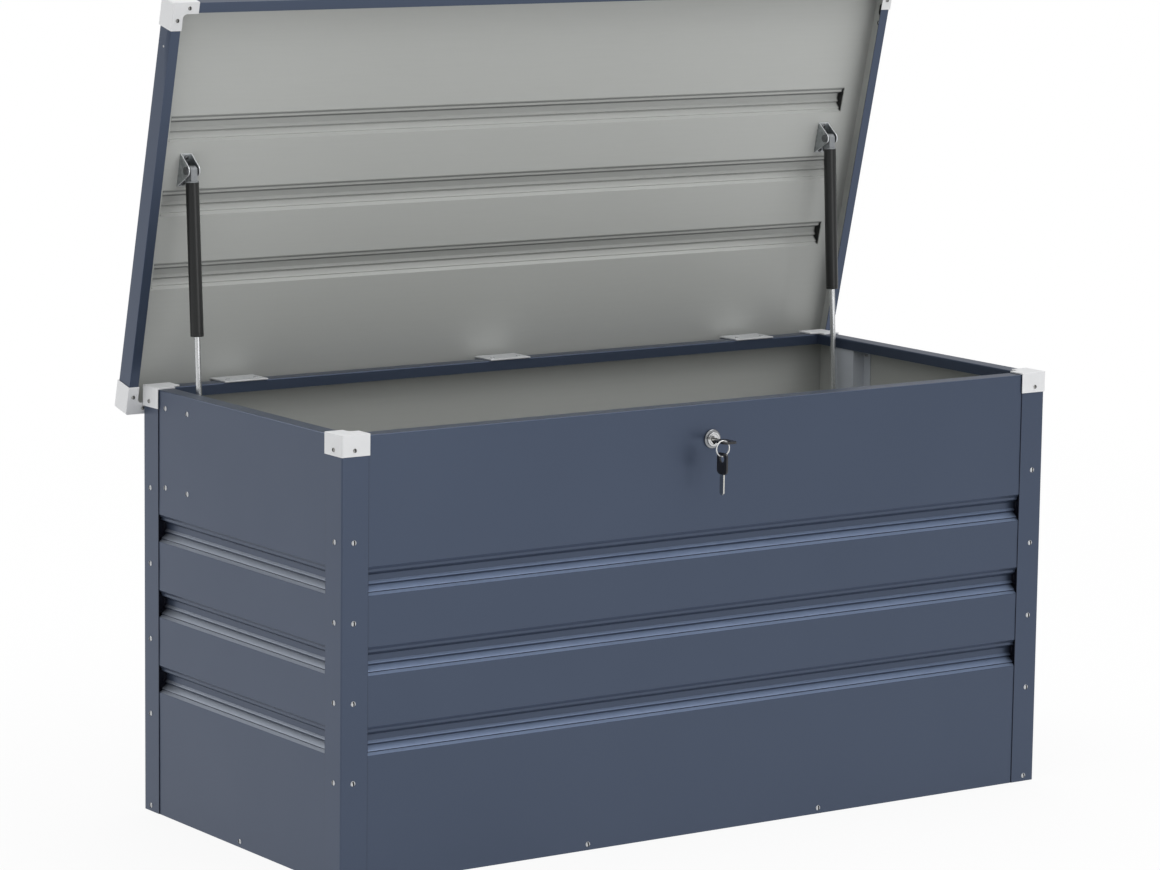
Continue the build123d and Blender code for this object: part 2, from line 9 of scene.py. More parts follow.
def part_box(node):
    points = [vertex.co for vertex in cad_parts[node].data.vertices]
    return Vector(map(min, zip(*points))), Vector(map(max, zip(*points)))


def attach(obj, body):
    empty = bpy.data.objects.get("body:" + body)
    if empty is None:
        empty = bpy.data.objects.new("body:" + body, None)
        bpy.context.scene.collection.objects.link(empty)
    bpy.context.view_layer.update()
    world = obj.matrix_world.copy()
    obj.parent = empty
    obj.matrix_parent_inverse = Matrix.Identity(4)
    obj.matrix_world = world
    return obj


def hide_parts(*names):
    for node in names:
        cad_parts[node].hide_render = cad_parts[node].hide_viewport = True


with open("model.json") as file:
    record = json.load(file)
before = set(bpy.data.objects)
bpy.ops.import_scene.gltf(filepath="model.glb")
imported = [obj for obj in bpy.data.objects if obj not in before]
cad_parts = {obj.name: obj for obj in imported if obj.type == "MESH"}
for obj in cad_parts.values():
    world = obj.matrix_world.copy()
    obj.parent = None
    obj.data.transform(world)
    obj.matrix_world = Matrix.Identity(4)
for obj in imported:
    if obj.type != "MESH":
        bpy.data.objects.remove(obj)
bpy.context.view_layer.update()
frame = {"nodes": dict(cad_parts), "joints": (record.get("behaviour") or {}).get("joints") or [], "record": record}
nodes = frame["nodes"]
scene = bpy.context.scene
mm = 0.001
print("stage 1: frame loaded with", len(nodes), "nodes")

# Places read from the frame
hinge = next(joint for joint in frame["joints"] if joint["name"] == "lid_hinge")
hingePlace = Vector(hinge["pos_m"])
shutTurn = math.radians(hinge["range_deg"][1])
turn = Matrix.Rotation(shutTurn, 4, "X")
toShut = Matrix.Translation(hingePlace) @ turn @ Matrix.Translation(-hingePlace)
toOpen = toShut.inverted()
bodyOf = {}
for body, members in frame["record"]["behaviour"]["bodies"].items():
    bodyOf.update(dict.fromkeys(members, body))
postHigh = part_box("corner_post_front_left")[1]
bodyTop = postHigh.z
postEdgeX, postEdgeY = -postHigh.x, -postHigh.y
wallFaceX, wallFaceY = -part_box("left_panel")[0].x, -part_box("front_panel")[0].y
shutPlaces = [toShut @ vertex.co for vertex in nodes["lid_sheet"].data.vertices]
lidLow = Vector([min(place[axis] for place in shutPlaces) for axis in range(3)])
lidHigh = Vector([max(place[axis] for place in shutPlaces) for axis in range(3)])


def camel(name):
    first, *rest = name.split("_")
    return first + "".join(word.capitalize() for word in rest)


def rgb(red, green, blue):
    # an sRGB colour in bytes, as the shaders' linear colour
    shares = (red / 255, green / 255, blue / 255)
    linear = [c / 12.92 if c <= 0.04045 else ((c + 0.055) / 1.055) ** 2.4 for c in shares]
    return (*linear, 1.0)


# Node building
class Wire:
    def __init__(self, board, socket):
        self.board = board
        self.socket = socket

    def join(self, operation, *terms):
        return self.board.node("ShaderNodeMath", {"operation": operation}, dict(enumerate(terms)))[0]

    def larger(self, other):
        return self.join("MAXIMUM", self, other)

    def smaller(self, other):
        return self.join("MINIMUM", self, other)

    def __add__(self, other):
        return self.join("ADD", self, other)

    def __sub__(self, other):
        return self.join("SUBTRACT", self, other)

    def __rsub__(self, other):
        return self.join("SUBTRACT", other, self)

    def __mul__(self, other):
        return self.join("MULTIPLY", self, other)

    def __truediv__(self, other):
        return self.join("DIVIDE", self, other)

    def __rtruediv__(self, other):
        return self.join("DIVIDE", other, self)

    def __abs__(self):
        return self.join("ABSOLUTE", self)

    def __neg__(self):
        return self.join("MULTIPLY", self, -1.0)

    def __gt__(self, other):
        return self.join("GREATER_THAN", self, other)

    def __lt__(self, other):
        return self.join("LESS_THAN", self, other)

    __radd__ = __add__
    __rmul__ = __mul__


class Board:
    def __init__(self, tree):
        self.tree = tree

    def node(self, kind, settings, sockets):
        made = self.tree.nodes.new(kind)
        for name, value in settings.items():
            setattr(made, name, value)
        for key, value in sockets.items():
            for one in value if isinstance(value, list) else [value]:
                if isinstance(one, Wire):
                    self.tree.links.new(one.socket, made.inputs[key])
                else:
                    made.inputs[key].default_value = one
        wires = {out.name: Wire(self, out) for out in reversed(list(made.outputs))}
        wires.update({index: Wire(self, out) for index, out in enumerate(made.outputs)})
        return wires

    def ramp(self, value, start, end):
        sockets = {"Value": value, "From Min": start, "From Max": end}
        return self.node("ShaderNodeMapRange", {"interpolation_type": "SMOOTHSTEP"}, sockets)[0]

    def noise(self, vector, scale, detail=2.0):
        return self.node("ShaderNodeTexNoise", {}, {"Vector": vector, "Scale": scale, "Detail": detail})[0]

    def blend(self, share, first, second):
        return self.node("ShaderNodeMix", {"data_type": "RGBA"}, {0: share, 6: first, 7: second})[2]

    def stretched(self, vector, scale):
        return self.node("ShaderNodeMapping", {}, {"Vector": vector, "Scale": scale})[0]

    def vector(self, x, y, z):
        return self.node("ShaderNodeCombineXYZ", {}, {0: x, 1: y, 2: z})[0]


class Finish(Board):
    def __init__(self, name, onLid=False):
        self.material = bpy.data.materials.new(name)
        self.material.use_nodes = True
        super().__init__(self.material.node_tree)
        self.tree.nodes.clear()
        self.spot = self.node("ShaderNodeTexCoord", {}, {})["Object"]
        if onLid:
            # the lid's own upright frame, as when it is shut
            sockets = {"Vector": self.spot, "Rotation": (shutTurn, 0, 0), "Location": toShut.to_translation()}
            self.spot = self.node("ShaderNodeMapping", {}, sockets)[0]
        axes = self.node("ShaderNodeSeparateXYZ", {}, {0: self.spot})
        self.x, self.y, self.z = axes[0], axes[1], axes[2]

    def bump(self, height, depth, strength):
        return self.node("ShaderNodeBump", {}, {"Height": height, "Distance": depth, "Strength": strength})[0]

    def surface(self, sockets):
        shader = self.node("ShaderNodeBsdfPrincipled", {}, sockets)[0]
        self.node("ShaderNodeOutputMaterial", {}, {"Surface": shader})
        return self.material


# Sheet and grooves of walls and lid; a band has its start, end (mm below a groove's upper edge) and share
sheetSettings = {"thick": 1.0 * mm, "grooveEnd": 32.0 * mm, "grooveDepth": 12.0 * mm}
# the bright bands are painted highlights; the dim and crease bands are painted shade
grooveBands = {"pitch": 104 * mm, "height": 37.6 * mm, "soft": 0.3,
               "bright": ((20.7, 23.7, 0.8), (26.9, 32.9, 1.0), (34.4, 37.6, 0.95)),
               "dim": ((0.0, 4.5, 0.7), (7.7, 12.7, 1.0), (12.7, 20.7, 0.2), (23.7, 26.9, 0.5)),
               "crease": ((24.2, 26.6, 0.3), (33.0, 34.3, 0.8))}


def grooveMask(f, down, bands):
    # down is measured from the middle groove's middle
    half, soft = grooveBands["pitch"] / 2, grooveBands["soft"]
    place = down.join("WRAP", down, half, -half) + grooveBands["height"] / 2
    mask = 0.0
    for start, end, share in bands:
        begun = f.ramp(place, (start - soft) * mm, (start + soft) * mm)
        left = f.ramp(place, (end + soft) * mm, (end - soft) * mm)
        mask = mask + begun * left * share
    return mask


# Slate coat of the outside
# the dark colour is painted shadow and shade; the ridge colours are painted highlights
slateLook = {"base": rgb(65, 76, 96), "light": rgb(69, 80, 100), "dark": rgb(29, 32, 45),
             "ridge": rgb(132, 148, 176), "sideRidge": rgb(138, 145, 156), "metallic": 0.5, "cloudScale": 4.0,
             "roughness": 0.3, "roughSpread": 0.08, "roughScale": 11.0,
             "peelScale": 560.0, "peelDepth": 0.03 * mm, "peelRough": 0.05, "peelBump": 0.5}


def slateCoat(name, onLid=False, shadow=None, ridge=None, ridgeColour="ridge"):
    f = Finish(name, onLid)
    cloud = f.noise(f.spot, slateLook["cloudScale"], 3.0)
    peel = f.noise(f.spot, slateLook["peelScale"])
    colour = f.blend(cloud, slateLook["base"], slateLook["light"])
    # painted highlight on the grooves' upward slopes
    if ridge:
        colour = f.blend(ridge(f), colour, slateLook[ridgeColour])
    # painted shadow and shade
    if shadow:
        colour = f.blend(shadow(f), colour, slateLook["dark"])
    worn = slateLook["roughness"] + slateLook["roughSpread"] * f.noise(f.spot, slateLook["roughScale"], 3.0)
    return f.surface({"Base Color": colour, "Metallic": slateLook["metallic"],
                      "Roughness": worn + slateLook["peelRough"] * (peel - 0.5),
                      "Normal": f.bump(peel, slateLook["peelDepth"], slateLook["peelBump"])})


# Shade in the walls' grooves; ramps run from their first place to their second
wallShade = {"underPost": (0.2 * mm, 0.8 * mm), "outer": (20 * mm, 16 * mm), "deep": (3 * mm, 9 * mm),
             "beforeLip": (20 * mm, 18 * mm), "nearPost": (-10 * mm, 0.0), "nearShare": 0.6,
             "creased": (1 * mm, 2 * mm), "ridged": (0.1 * mm, 0.8 * mm)}


def wallPlace(f, alongX):
    # the way past the post's edge, and the depth behind the wall's outer face
    if alongX:
        return abs(f.x) - postEdgeX, wallFaceY - abs(f.y)
    return abs(f.y) - postEdgeY, wallFaceX - abs(f.x)


def wallShadow(alongX):
    # the grooves' far ends under the posts, and the creases
    def mask(f):
        past, depth = wallPlace(f, alongX)
        covered = f.ramp(past, *wallShade["underPost"]) * f.ramp(depth, *wallShade["outer"])
        deep = f.ramp(depth, *wallShade["deep"]) * f.ramp(depth, *wallShade["beforeLip"])
        nearEnd = f.ramp(past, *wallShade["nearPost"]) * deep * wallShade["nearShare"]
        crease = grooveMask(f, bodyTop / 2 - f.z, grooveBands["crease"])
        crease = crease * f.ramp(depth, *wallShade["creased"])
        return covered.larger(nearEnd).larger(crease)
    return mask


def wallRidgeHighlight(alongX, share):
    # painted highlight on the grooves' upward slopes
    def mask(f):
        depth = wallPlace(f, alongX)[1]
        ridges = grooveMask(f, bodyTop / 2 - f.z, grooveBands["bright"])
        return ridges * f.ramp(depth, *wallShade["ridged"]) * share
    return mask


postCut = {"width": 0.5 * mm, "share": 0.85}


def postShadow(f):
    # painted shade on the posts' cut edges
    cutX = abs(abs(f.x) - postEdgeX) < postCut["width"]
    cutY = abs(abs(f.y) - postEdgeY) < postCut["width"]
    return cutX.larger(cutY) * postCut["share"]


# Grey coat of the inside; its dark colour is painted shadow
greyLook = {"base": rgb(182, 184, 181), "shade": rgb(173, 175, 172), "dark": rgb(26, 27, 27),
            "roughness": 0.45, "roughSpread": 0.1, "cloudScale": 3.0, "cloudShare": 0.6,
            "rollStretch": (4.0, 90.0, 90.0), "rollScale": 3.0, "rollShare": 0.4,
            "grainScale": 700.0, "grainDepth": 0.02 * mm, "grainBump": 0.4}
# the lid's inside is a lighter copy of the same grey coat: painted light; its groove colour is painted shade
lidLook = dict(greyLook, base=rgb(190, 192, 189), shade=rgb(181, 183, 180), groove=rgb(124, 126, 125))


def greyCoat(name, look, onLid=False, shadow=None, groove=None):
    f = Finish(name, onLid)
    cloud = f.noise(f.spot, look["cloudScale"], 4.0)
    rolled = f.noise(f.stretched(f.spot, look["rollStretch"]), look["rollScale"], 3.0)
    grain = f.noise(f.spot, look["grainScale"])
    mottle = cloud * look["cloudShare"] + rolled * look["rollShare"]
    colour = f.blend(mottle, look["base"], look["shade"])
    # painted shade in the lid's groove hollows
    if groove:
        colour = f.blend(groove(f), colour, look["groove"])
    # painted shadow
    if shadow:
        colour = f.blend(shadow(f), colour, look["dark"])
    return f.surface({"Base Color": colour, "Roughness": look["roughness"] + look["roughSpread"] * rolled,
                      "Normal": f.bump(grain, look["grainDepth"], look["grainBump"])})


# Shade inside the lid
lidShade = {"hollow": (0.6 * mm, 2 * mm), "endWall": (-5 * mm, -1.5 * mm), "grime": (0.2 * mm, 0.9 * mm)}
lidUnder = lidHigh.z - sheetSettings["grooveDepth"] - sheetSettings["thick"]
lidMiddleY = (lidLow.y + lidHigh.y) / 2
braceSlot = {"fromFront": 43.0 * mm, "length": 18.4 * mm, "width": 9.4 * mm}


def lidShadow(f):
    # painted shadow on the grooves' end walls, and on the wall behind the braces' slots
    end = lidHigh.x - sheetSettings["grooveEnd"]
    inGroove = f.ramp(f.z - lidUnder, *lidShade["hollow"])
    closed = f.ramp(abs(f.x) - end, *lidShade["endWall"]) * inGroove
    slotZ = (lidLow.z + sheetSettings["thick"] + lidUnder) / 2
    alongSlot = abs(f.y - (lidLow.y + braceSlot["fromFront"])) < braceSlot["length"] / 2
    acrossSlot = abs(f.z - slotZ) < braceSlot["width"] / 2
    onWall = abs(f.x) > lidHigh.x - 1.5 * sheetSettings["thick"]
    return closed.larger(alongSlot * acrossSlot * onWall)


def lidGrooveShade(f):
    # painted shade in the ribs' hollows
    deep = f.ramp(f.z - lidUnder, *lidShade["grime"])
    return grooveMask(f, f.y - lidMiddleY, grooveBands["dim"]) * deep


# White plastic of the caps
plasticLook = {"base": rgb(227, 228, 229), "tint": rgb(221, 222, 224), "roughness": 0.42, "roughSpread": 0.08,
               "cloudScale": 40.0, "grainScale": 1400.0, "grainDepth": 0.02 * mm, "grainBump": 0.4}


def whitePlastic(name):
    f = Finish(name)
    cloud = f.noise(f.spot, plasticLook["cloudScale"], 3.0)
    grain = f.noise(f.spot, plasticLook["grainScale"])
    return f.surface({"Base Color": f.blend(cloud, plasticLook["base"], plasticLook["tint"]),
                      "Roughness": plasticLook["roughness"] + plasticLook["roughSpread"] * (grain - 0.5),
                      "Normal": f.bump(grain, plasticLook["grainDepth"], plasticLook["grainBump"])})


# Channels: a bluish grey coat, painted light: lighter than the inside grey so that they look lit in the shade
# inside the box
channelLook = {"base": rgb(196, 201, 208), "shade": rgb(182, 187, 195), "roughness": 0.4, "roughSpread": 0.1,
               "cloudScale": 9.0, "grainScale": 600.0, "grainDepth": 0.02 * mm, "grainBump": 0.4}


def channelCoat(name):
    f = Finish(name)
    grain = f.noise(f.spot, channelLook["grainScale"])
    cloud = f.noise(f.spot, channelLook["cloudScale"], 3.0)
    return f.surface({"Base Color": f.blend(cloud, channelLook["base"], channelLook["shade"]),
                      "Roughness": channelLook["roughness"] + channelLook["roughSpread"] * cloud,
                      "Normal": f.bump(grain, channelLook["grainDepth"], channelLook["grainBump"])})


# Bare and plated metals
metalLooks = {
    "zincScrew": {"base": rgb(214, 216, 218), "shade": rgb(186, 188, 191), "metallic": 0.35, "rough": 0.34,
                  "spread": 0.08, "patch": 900.0, "spangle": 0.5, "stretch": (12, 12, 12), "bump": 0.3},
    "dullScrew": {"base": rgb(168, 168, 165), "shade": rgb(132, 132, 130), "metallic": 0.8, "rough": 0.42,
                  "spread": 0.08, "patch": 900.0, "spangle": 0.5, "stretch": (12, 12, 12), "bump": 0.3},
    "rivetSteel": {"base": rgb(122, 124, 126), "shade": rgb(98, 100, 103), "metallic": 0.9, "rough": 0.5,
                   "spread": 0.08, "patch": 600.0, "spangle": 0.5, "stretch": (12, 12, 12), "bump": 0.3},
    "eyeSteel": {"base": rgb(152, 155, 158), "shade": rgb(138, 141, 144), "metallic": 0.6, "rough": 0.55,
                 "spread": 0.08, "patch": 300.0, "spangle": 0.4, "stretch": (20, 20, 20), "bump": 0.3},
    "hingeZinc": {"base": rgb(226, 228, 230), "shade": rgb(206, 208, 211), "metallic": 0.5, "rough": 0.4,
                  "spread": 0.06, "patch": 260.0, "spangle": 0.3, "stretch": (6, 30, 30), "bump": 0.15},
    "ringSteel": {"base": rgb(236, 236, 235), "shade": rgb(214, 214, 213), "metallic": 0.7, "rough": 0.3,
                  "spread": 0.04, "patch": 800.0, "spangle": 0.3, "stretch": (14, 50, 14), "bump": 0.1},
    "rosetteChrome": {"base": rgb(152, 154, 157), "shade": rgb(128, 130, 133), "metallic": 1.0, "rough": 0.2,
                      "spread": 0.06, "patch": 700.0, "spangle": 0.3, "stretch": (20, 90, 20), "bump": 0.2},
    "galvanised": {"base": rgb(184, 188, 190), "shade": rgb(146, 150, 154), "metallic": 0.9, "rough": 0.36,
                   "spread": 0.16, "patch": 230.0, "spangle": 0.7, "stretch": (6, 30, 30), "bump": 0.4},
    "chromedRod": {"base": rgb(216, 218, 219), "shade": rgb(202, 204, 206), "metallic": 0.9, "rough": 0.24,
                   "spread": 0.03, "patch": 300.0, "spangle": 0.2, "stretch": (60, 60, 4), "bump": 0.04},
    "lockChrome": {"base": rgb(214, 215, 216), "shade": rgb(188, 189, 191), "metallic": 1.0, "rough": 0.15,
                   "spread": 0.06, "patch": 700.0, "spangle": 0.3, "stretch": (20, 90, 20), "bump": 0.2},
    "keySteel": {"base": rgb(212, 211, 206), "shade": rgb(178, 177, 172), "metallic": 1.0, "rough": 0.2,
                 "spread": 0.08, "patch": 800.0, "spangle": 0.3, "stretch": (14, 50, 80), "bump": 0.25},
}
scratches = {"scale": 60.0, "colourShare": 0.25, "roughShare": 0.1, "spangleBump": 0.4, "depth": 0.02 * mm}


def plainMetal(name, look):
    f = Finish(name)
    patches = f.node("ShaderNodeTexVoronoi", {}, {"Vector": f.spot, "Scale": look["patch"]})
    spangle = f.node("ShaderNodeSeparateColor", {}, {0: patches["Color"]})[0]
    scratch = f.noise(f.stretched(f.spot, look["stretch"]), scratches["scale"], 3.0)
    mottle = spangle * look["spangle"] + scratch * scratches["colourShare"]
    patchy = look["rough"] + look["spread"] * (spangle - 0.5)
    relief = scratch + spangle * scratches["spangleBump"]
    return f.surface({"Base Color": f.blend(mottle, look["base"], look["shade"]),
                      "Metallic": look["metallic"],
                      "Roughness": patchy + scratches["roughShare"] * (scratch - 0.5),
                      "Normal": f.bump(relief, scratches["depth"], look["bump"])})


# Black tube, painted shade in the screws' recesses, and the keys' plastic
darkLooks = {
    "blackTube": {"base": rgb(18, 20, 20), "tint": rgb(24, 26, 26), "roughness": 0.34, "grainScale": 900.0},
    "recessDark": {"base": rgb(34, 35, 36), "tint": rgb(46, 47, 48), "roughness": 0.6, "grainScale": 2000.0},
    "keyPlastic": {"base": rgb(28, 28, 31), "tint": rgb(40, 40, 43), "roughness": 0.3, "grainScale": 1500.0},
}
darkGrain = {"cloudScale": 30.0, "roughSpread": 0.1, "depth": 0.02 * mm, "bump": 0.4}


def darkCoat(name, look):
    f = Finish(name)
    cloud = f.noise(f.spot, darkGrain["cloudScale"], 3.0)
    grain = f.noise(f.spot, look["grainScale"])
    return f.surface({"Base Color": f.blend(cloud, look["base"], look["tint"]),
                      "Roughness": look["roughness"] + darkGrain["roughSpread"] * (cloud - 0.5),
                      "Normal": f.bump(grain, darkGrain["depth"], darkGrain["bump"])})


finishes = {name: plainMetal(name, look) for name, look in metalLooks.items()}
finishes.update({name: darkCoat(name, look) for name, look in darkLooks.items()})
finishes.update({
    "longWallSlate": slateCoat("longWallSlate", shadow=wallShadow(True), ridge=wallRidgeHighlight(True, 1.0)),
    "sideWallSlate": slateCoat("sideWallSlate", shadow=wallShadow(False), ridge=wallRidgeHighlight(False, 0.9),
                               ridgeColour="sideRidge"),
    "postSlate": slateCoat("postSlate", shadow=postShadow),
    "lidSlate": slateCoat("lidSlate", onLid=True),
    "bodyGrey": greyCoat("bodyGrey", greyLook),
    "lidGrey": greyCoat("lidGrey", lidLook, onLid=True, shadow=lidShadow, groove=lidGrooveShade),
    "capWhite": whitePlastic("capWhite"),
    "channelCoat": channelCoat("channelCoat"),
})
print("stage 2:", len(finishes), "finishes")


# Mesh building
meshSettings = {"merge": 0.01 * mm, "flat": math.radians(0.6), "shortest": 0.02 * mm, "crease": 35.0}


def mergedMesh(node):
    # a copy of the CAD mesh without its inner triangle edges, the lid's pieces as when it is shut
    mesh = bmesh.new()
    mesh.from_mesh(nodes[node].data)
    if bodyOf[node] == "lid":
        mesh.transform(toShut)
    bmesh.ops.remove_doubles(mesh, verts=mesh.verts, dist=meshSettings["merge"])
    bmesh.ops.dissolve_limit(mesh, angle_limit=meshSettings["flat"], verts=mesh.verts, edges=mesh.edges)
    return mesh


def roomBeside(edge, face):
    # how far the face goes on from the middle of its edge
    loop = next(one for one in face.loops if one.edge == edge)
    along = (loop.link_loop_next.vert.co - loop.vert.co).normalized()
    inward = face.normal.cross(along)
    middle = (edge.verts[0].co + edge.verts[1].co) / 2
    room = 1.0
    for other in face.edges:
        if other == edge:
            continue
        start, end = (v.co - middle for v in other.verts)
        a, b = start.dot(along), end.dot(along)
        if a * b <= 0 and a != b:
            reach = (start + (end - start) * (a / (a - b))).dot(inward)
            if reach > 1e-7:
                room = min(room, reach)
    return room


def softenEdges(mesh, width, sharpest, room, segments, hollows=False):
    # rounds the edges that have room for it on both sides, and the hollow ones where asked
    chosen = []
    for edge in mesh.edges:
        if len(edge.link_faces) == 2 and edge.calc_length() > meshSettings["shortest"]:
            if edge.calc_face_angle(0.0) > sharpest and (edge.is_convex or hollows):
                if min(roomBeside(edge, face) for face in edge.link_faces) > room:
                    chosen.append(edge)
    bmesh.ops.bevel(mesh, geom=chosen, offset=width, offset_type="OFFSET", segments=segments, profile=0.5,
                    affect="EDGES", clamp_overlap=False)


def makePiece(name, mesh, materials, node, slotName):
    if bodyOf[node] == "lid":
        mesh.transform(toOpen)
    data = bpy.data.meshes.new(name)
    mesh.to_mesh(data)
    mesh.free()
    return placePiece(name, data, materials, node, slotName, meshSettings["crease"])


def placePiece(name, data, materials, node, slotName, crease):
    data.shade_smooth()
    data.set_sharp_from_angle(angle=math.radians(crease))
    draft = bpy.data.objects.new(name + "Draft", data)
    scene.collection.objects.link(draft)
    draft.modifiers.new("evenNormals", "WEIGHTED_NORMAL").keep_sharp = True
    even = bpy.data.meshes.new_from_object(draft.evaluated_get(bpy.context.evaluated_depsgraph_get()))
    bpy.data.objects.remove(draft)
    even.name = name
    piece = bpy.data.objects.new(name, even)
    scene.collection.objects.link(piece)
    if not even.materials:
        for material in materials:
            even.materials.append(finishes[material])
    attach(piece, bodyOf[node])
    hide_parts(node)
    return piece


# Walls and lid: folded sheet, slate outside and grey inside
foldSettings = {"fold": 1.7 * mm, "foldRoom": 9 * mm, "foldAngle": math.radians(60), "foldSegments": 3,
                "press": 0.5 * mm, "pressRoom": 1.4 * mm, "pressAngle": math.radians(14), "pressSegments": 2,
                "lipDepth": 20 * mm, "tilt": 0.05, "endTilt": 0.02, "skinRoom": 0.3 * mm, "lipRoom": 1.2 * mm,
                "edgeRoom": 0.2 * mm}


def foldedSheet(node, along, across, edgeEnd, grooveMiddle):
    mesh = mergedMesh(node)
    # the flats are cut at the grooves' ends and between the grooves, which keeps their faces simple
    grooveEnd = edgeEnd - sheetSettings["grooveEnd"]
    cuts = [(along, side * (grooveEnd - step)) for side in (-1, 1) for step in (0, sheetSettings["thick"])]
    cuts += [(across, grooveMiddle + side * grooveBands["pitch"] / 2) for side in (-3, -1, 1, 3)]
    for normal, place in cuts:
        parts = mesh.verts[:] + mesh.edges[:] + mesh.faces[:]
        bmesh.ops.bisect_plane(mesh, geom=parts, plane_co=normal * place, plane_no=normal, dist=1e-6)
    softenEdges(mesh, foldSettings["fold"], foldSettings["foldAngle"], foldSettings["foldRoom"],
                foldSettings["foldSegments"])
    softenEdges(mesh, foldSettings["press"], foldSettings["pressAngle"], foldSettings["pressRoom"],
                foldSettings["pressSegments"], hollows=True)
    mesh.normal_update()
    return mesh


def makeWall(node, inward, faceDistance, slate):
    along = Vector((abs(inward.y), abs(inward.x), 0))
    mesh = foldedSheet(node, along, Vector((0, 0, 1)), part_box(node)[1].dot(along), bodyTop / 2)
    for face in mesh.faces:
        depth = face.calc_center_median().dot(inward) + faceDistance
        inside = face.normal.dot(inward) > foldSettings["tilt"] and depth < foldSettings["lipDepth"]
        face.material_index = int(inside)
    return makePiece(camel(node), mesh, [slate, "bodyGrey"], node, "slate_steel")


makeWall("front_panel", Vector((0, 1, 0)), wallFaceY, "longWallSlate")
makeWall("back_panel", Vector((0, -1, 0)), wallFaceY, "longWallSlate")
makeWall("left_panel", Vector((1, 0, 0)), wallFaceX, "sideWallSlate")
makeWall("right_panel", Vector((-1, 0, 0)), wallFaceX, "sideWallSlate")


def lidOutside(face):
    middle, normal, tilt = face.calc_center_median(), face.normal, foldSettings["tilt"]
    skin = normal.z > tilt and middle.z > lidUnder + foldSettings["skinRoom"]
    lip = middle.z < lidLow.z + foldSettings["lipRoom"]
    edge = foldSettings["fold"] + foldSettings["edgeRoom"]
    ends = abs(middle.x) > lidHigh.x - edge and normal.x * middle.x > foldSettings["endTilt"]
    front = middle.y < lidLow.y + edge and normal.y < -tilt
    rear = middle.y > lidHigh.y - edge and normal.y > tilt
    return skin or lip or ends or front or rear


def makeLid(node):
    mesh = foldedSheet(node, Vector((1, 0, 0)), Vector((0, 1, 0)), lidHigh.x, lidMiddleY)
    for face in mesh.faces:
        face.material_index = int(not lidOutside(face))
    return makePiece(camel(node), mesh, ["lidSlate", "lidGrey"], node, "slate_steel")


makeLid("lid_sheet")
print("stage 3: walls and lid")


# Solid pieces with softened edges
softSettings = {"angle": math.radians(30), "room": 2.1, "segments": 2}  # room is in widths of the rounding


def softMesh(node, width):
    mesh = mergedMesh(node)
    softenEdges(mesh, width, softSettings["angle"], softSettings["room"] * width, softSettings["segments"])
    return mesh


softTable = {
    "corner_post": ("postSlate", "slate_steel", 0.3 * mm),
    "body_cap": ("capWhite", "white_plastic", 0.7 * mm),
    "lid_cap_front": ("capWhite", "white_plastic", 0.7 * mm),
    "lid_cap_back": ("capWhite", "white_plastic", 0.7 * mm),
    "floor_panel": ("bodyGrey", "grey_steel", 0.3 * mm),
    "strut_channel": ("channelCoat", "grey_steel", 0.5 * mm),
    "lid_brace": ("lidGrey", "grey_steel", 0.4 * mm),
    "bracket_pins": ("rivetSteel", "screw_steel", 0.3 * mm),
    "hinge_body_leaves": ("hingeZinc", "galvanised_steel", 0.4 * mm),
    "hinge_lid_leaves": ("hingeZinc", "galvanised_steel", 0.4 * mm),
    "hinge_pins": ("zincScrew", "screw_steel", 0.5 * mm),
    "strut_eye": ("eyeSteel", "galvanised_steel", 0.4 * mm),
    "strut_tube": ("blackTube", "black_tube", 0.4 * mm),
    "strut_gland": ("blackTube", "black_tube", 0.6 * mm),
    "strut_rod": ("chromedRod", "rod_chrome", 0.3 * mm),
    "rod_end": ("galvanised", "galvanised_steel", 0.4 * mm),
    "lock_barrel": ("lockChrome", "lock_chrome", 0.5 * mm),
    "lock_plug": ("lockChrome", "lock_chrome", 0.4 * mm),
    "lock_rosette": ("rosetteChrome", "lock_chrome", 0.3 * mm),
    "lock_nut": ("galvanised", "galvanised_steel", 0.5 * mm),
    "lock_cam": ("galvanised", "galvanised_steel", 0.3 * mm),
    "cam_screw": ("zincScrew", "screw_steel", 0.4 * mm),
    "key_blade": ("keySteel", "key_steel", 0.25 * mm),
    "key_bow": ("keyPlastic", "key_plastic", 0.7 * mm),
    "spare_key_blade": ("keySteel", "key_steel", 0.25 * mm),
    "spare_key_bow": ("keyPlastic", "key_plastic", 0.7 * mm),
}
for node in sorted(nodes):
    for prefix, (material, slotName, width) in softTable.items():
        if node.startswith(prefix) and "screws" not in node:
            makePiece(camel(node), softMesh(node, width), [material], node, slotName)

# Strut brackets: galvanised sheet with a painted highlight on the cut edges
bracketSettings = {"soft": 0.4 * mm, "plate": 3.0 * mm, "sideways": 0.9}
for node in ("lid_bracket_left", "lid_bracket_right"):
    mesh = softMesh(node, bracketSettings["soft"])
    plate = max(vertex.co.z for vertex in mesh.verts) - bracketSettings["plate"]
    for face in mesh.faces:
        onEdge = abs(face.normal.x) < bracketSettings["sideways"]
        face.material_index = int(onEdge and face.calc_center_median().z < plate)
    makePiece(camel(node), mesh, ["galvanised", "hingeZinc"], node, "galvanised_steel")
print("stage 4: softened pieces")


# Geometry trees
def newTree(name, start, floats, others, result):
    tree = bpy.data.node_groups.new(name, "GeometryNodeTree")
    inputs = {start: "Geometry", **dict.fromkeys(floats, "Float"), **others}
    for label, kind in inputs.items():
        tree.interface.new_socket(label, in_out="INPUT", socket_type="NodeSocket" + kind)
    tree.interface.new_socket(result, in_out="OUTPUT", socket_type="NodeSocketGeometry")
    return tree


